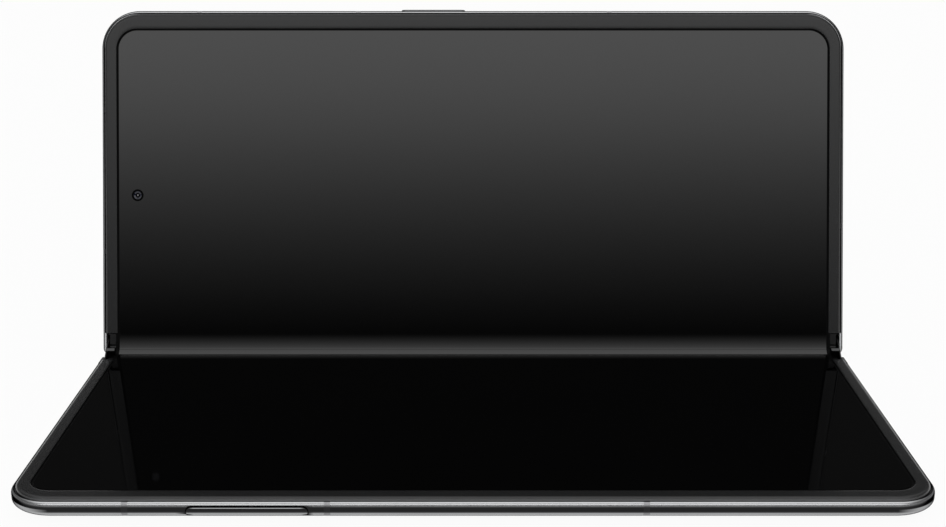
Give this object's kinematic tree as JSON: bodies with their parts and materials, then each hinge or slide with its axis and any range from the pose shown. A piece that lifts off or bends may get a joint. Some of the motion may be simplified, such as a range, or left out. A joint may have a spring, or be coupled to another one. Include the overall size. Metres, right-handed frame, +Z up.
{
  "type": "foldable smartphone",
  "caption": "Pocket phone that folds like a book round a geared hinge, with a flexible inner screen, shown half open like a small laptop.",
  "frame": {"origin": "middle of the underside of the lower half", "axes": "+X along the hinge, towards the charging port; +Y from the user towards the upper half; +Z up out of the lower screen"},
  "size_m": [0.157, 0.0959, 0.0748],
  "materials": {
    "frame_metal": "polished dark graphite metal",
    "key_metal": "satin dark graphite metal",
    "bezel_plastic": "smooth satin dark grey, raised round the screen",
    "break_plastic": "satin dark grey",
    "screen_film": "flexible polymer screen, switched off",
    "cover_glass": "black cover glass over a switched-off screen",
    "back_glass": "etched matte dark grey glass",
    "display_panel": "bonded display panel",
    "chassis_metal": "bead-blasted plate",
    "spine_metal": "satin dark graphite metal",
    "cap_metal": "polished bright metal",
    "guard_plastic": "satin dark grey",
    "hinge_steel": "machined steel",
    "gear_brass": "cut brass",
    "washer_steel": "spring steel",
    "battery_pack": "laminated pouch",
    "board_laminate": "solder-masked circuit board",
    "shield_tin": "stamped tin shield",
    "speaker_plastic": "moulded speaker box",
    "flex_film": "amber polyimide film",
    "coil_copper": "flat-wound copper wire",
    "camera_body": "black camera barrel",
    "lens_glass": "coated dark lens glass",
    "island_metal": "fine-blasted dark graphite metal",
    "ring_metal": "turned dark metal ring",
    "flash_plastic": "ribbed pale diffuser",
    "port_steel": "drawn steel shell",
    "screw_steel": "blackened steel"
  },
  "bodies": {
    "base": {"base_frame": "frame_metal", "base_bezel": "bezel_plastic", "base_antenna_breaks": "break_plastic", "base_chassis_plate": "chassis_metal", "cover_glass": "cover_glass", "cover_display_panel": "display_panel", "cover_camera": "camera_body", "base_battery": "battery_pack", "base_board": "board_laminate", "sim_reader": "shield_tin", "earpiece_speaker": "speaker_plastic", "base_hinge_arms": "hinge_steel", "base_end_guards": "guard_plastic", "base_screws": "screw_steel", "display_lower": "screen_film"},
    "spine": {"spine_cover": "spine_metal", "spine_end_caps": "cap_metal", "spine_end_blocks": "spine_metal", "hinge_brackets": "hinge_steel", "hinge_pins": "hinge_steel", "friction_washers": "washer_steel", "display_fold_lower": "screen_film", "display_fold_upper": "screen_film", "hinge_flex_lower": "flex_film", "hinge_flex_upper": "flex_film"},
    "lid": {"lid_frame": "frame_metal", "lid_bezel": "bezel_plastic", "lid_antenna_breaks": "break_plastic", "lid_chassis_plate": "chassis_metal", "back_glass": "back_glass", "lid_battery": "battery_pack", "main_board": "board_laminate", "board_shields": "shield_tin", "camera_island": "island_metal", "camera_lens_rings": "ring_metal", "camera_glasses": "lens_glass", "camera_modules": "camera_body", "flash_lens": "flash_plastic", "inner_camera": "camera_body", "inner_camera_lens": "lens_glass", "usb_port": "port_steel", "bottom_speaker": "speaker_plastic", "vibration_motor": "shield_tin", "charging_coil": "coil_copper", "key_switches": "speaker_plastic", "lid_hinge_arms": "hinge_steel", "lid_end_guards": "guard_plastic", "lid_screws": "screw_steel", "display_upper": "screen_film"},
    "lower_idlers": {"lower_idler_gears": "gear_brass"},
    "upper_idlers": {"upper_idler_gears": "gear_brass"},
    "base_wing": {"base_wing_plate": "chassis_metal"},
    "lid_wing": {"lid_wing_plate": "chassis_metal"},
    "sim_tray": {"sim_tray": "frame_metal"},
    "power_key": {"power_key": "key_metal"},
    "volume_rocker": {"volume_rocker": "key_metal"}
  },
  "joints": [
    {"name": "spine_fold", "type": "hinge", "parent": "base", "child": "spine", "pos_m": [0, 0.03467, 0.00315], "axis": [1, 0, 0], "range_deg": [-37.4, 52.6], "deforming": ["display_fold_lower", "hinge_flex_lower"]},
    {"name": "lid_fold", "type": "hinge", "parent": "spine", "child": "lid", "pos_m": [0, 0.03777, 0.00552], "axis": [1, 0, 0], "range_deg": [-37.4, 52.6], "deforming": ["display_fold_upper", "hinge_flex_upper"]},
    {"name": "lower_idler_spin", "type": "hinge", "parent": "spine", "child": "lower_idlers", "pos_m": [0, 0.03571, 0.00394], "axis": [1, 0, 0], "range_deg": [-37.4, 52.6]},
    {"name": "upper_idler_spin", "type": "hinge", "parent": "spine", "child": "upper_idlers", "pos_m": [0, 0.03674, 0.00473], "axis": [1, 0, 0], "range_deg": [-52.6, 37.4]},
    {"name": "base_wing_tilt", "type": "hinge", "parent": "base", "child": "base_wing", "pos_m": [0, 0.03002, 0.00402], "axis": [1, 0, 0], "range_deg": [-14.61, 10.39]},
    {"name": "lid_wing_tilt", "type": "hinge", "parent": "lid", "child": "lid_wing", "pos_m": [0, 0.03815, 0.01023], "axis": [1, 0, 0], "range_deg": [-10.39, 14.61]},
    {"name": "sim_tray_slide", "type": "slide", "parent": "base", "child": "sim_tray", "axis": [0, -1, 0], "range_m": [0, 0.018]},
    {"name": "power_key_press", "type": "slide", "parent": "lid", "child": "power_key", "axis": [0, -0.2622, -0.965], "range_m": [0, 0.00025], "stiffness_N_per_m": 400},
    {"name": "volume_rocker_tilt", "type": "hinge", "parent": "lid", "child": "volume_rocker", "pos_m": [-0.041, 0.05612, 0.07266], "axis": [0, -0.965, 0.2622], "range_deg": [-0.5, 0.5], "stiffness_Nm_per_rad": 0.03}
  ],
  "couplings": [
    {"joint": "lid_fold", "follows": "spine_fold", "ratio": 1},
    {"joint": "lower_idler_spin", "follows": "spine_fold", "ratio": 1},
    {"joint": "upper_idler_spin", "follows": "spine_fold", "ratio": -1},
    {"joint": "base_wing_tilt", "follows": "spine_fold", "ratio": -0.27778},
    {"joint": "lid_wing_tilt", "follows": "spine_fold", "ratio": 0.27778}
  ]
}
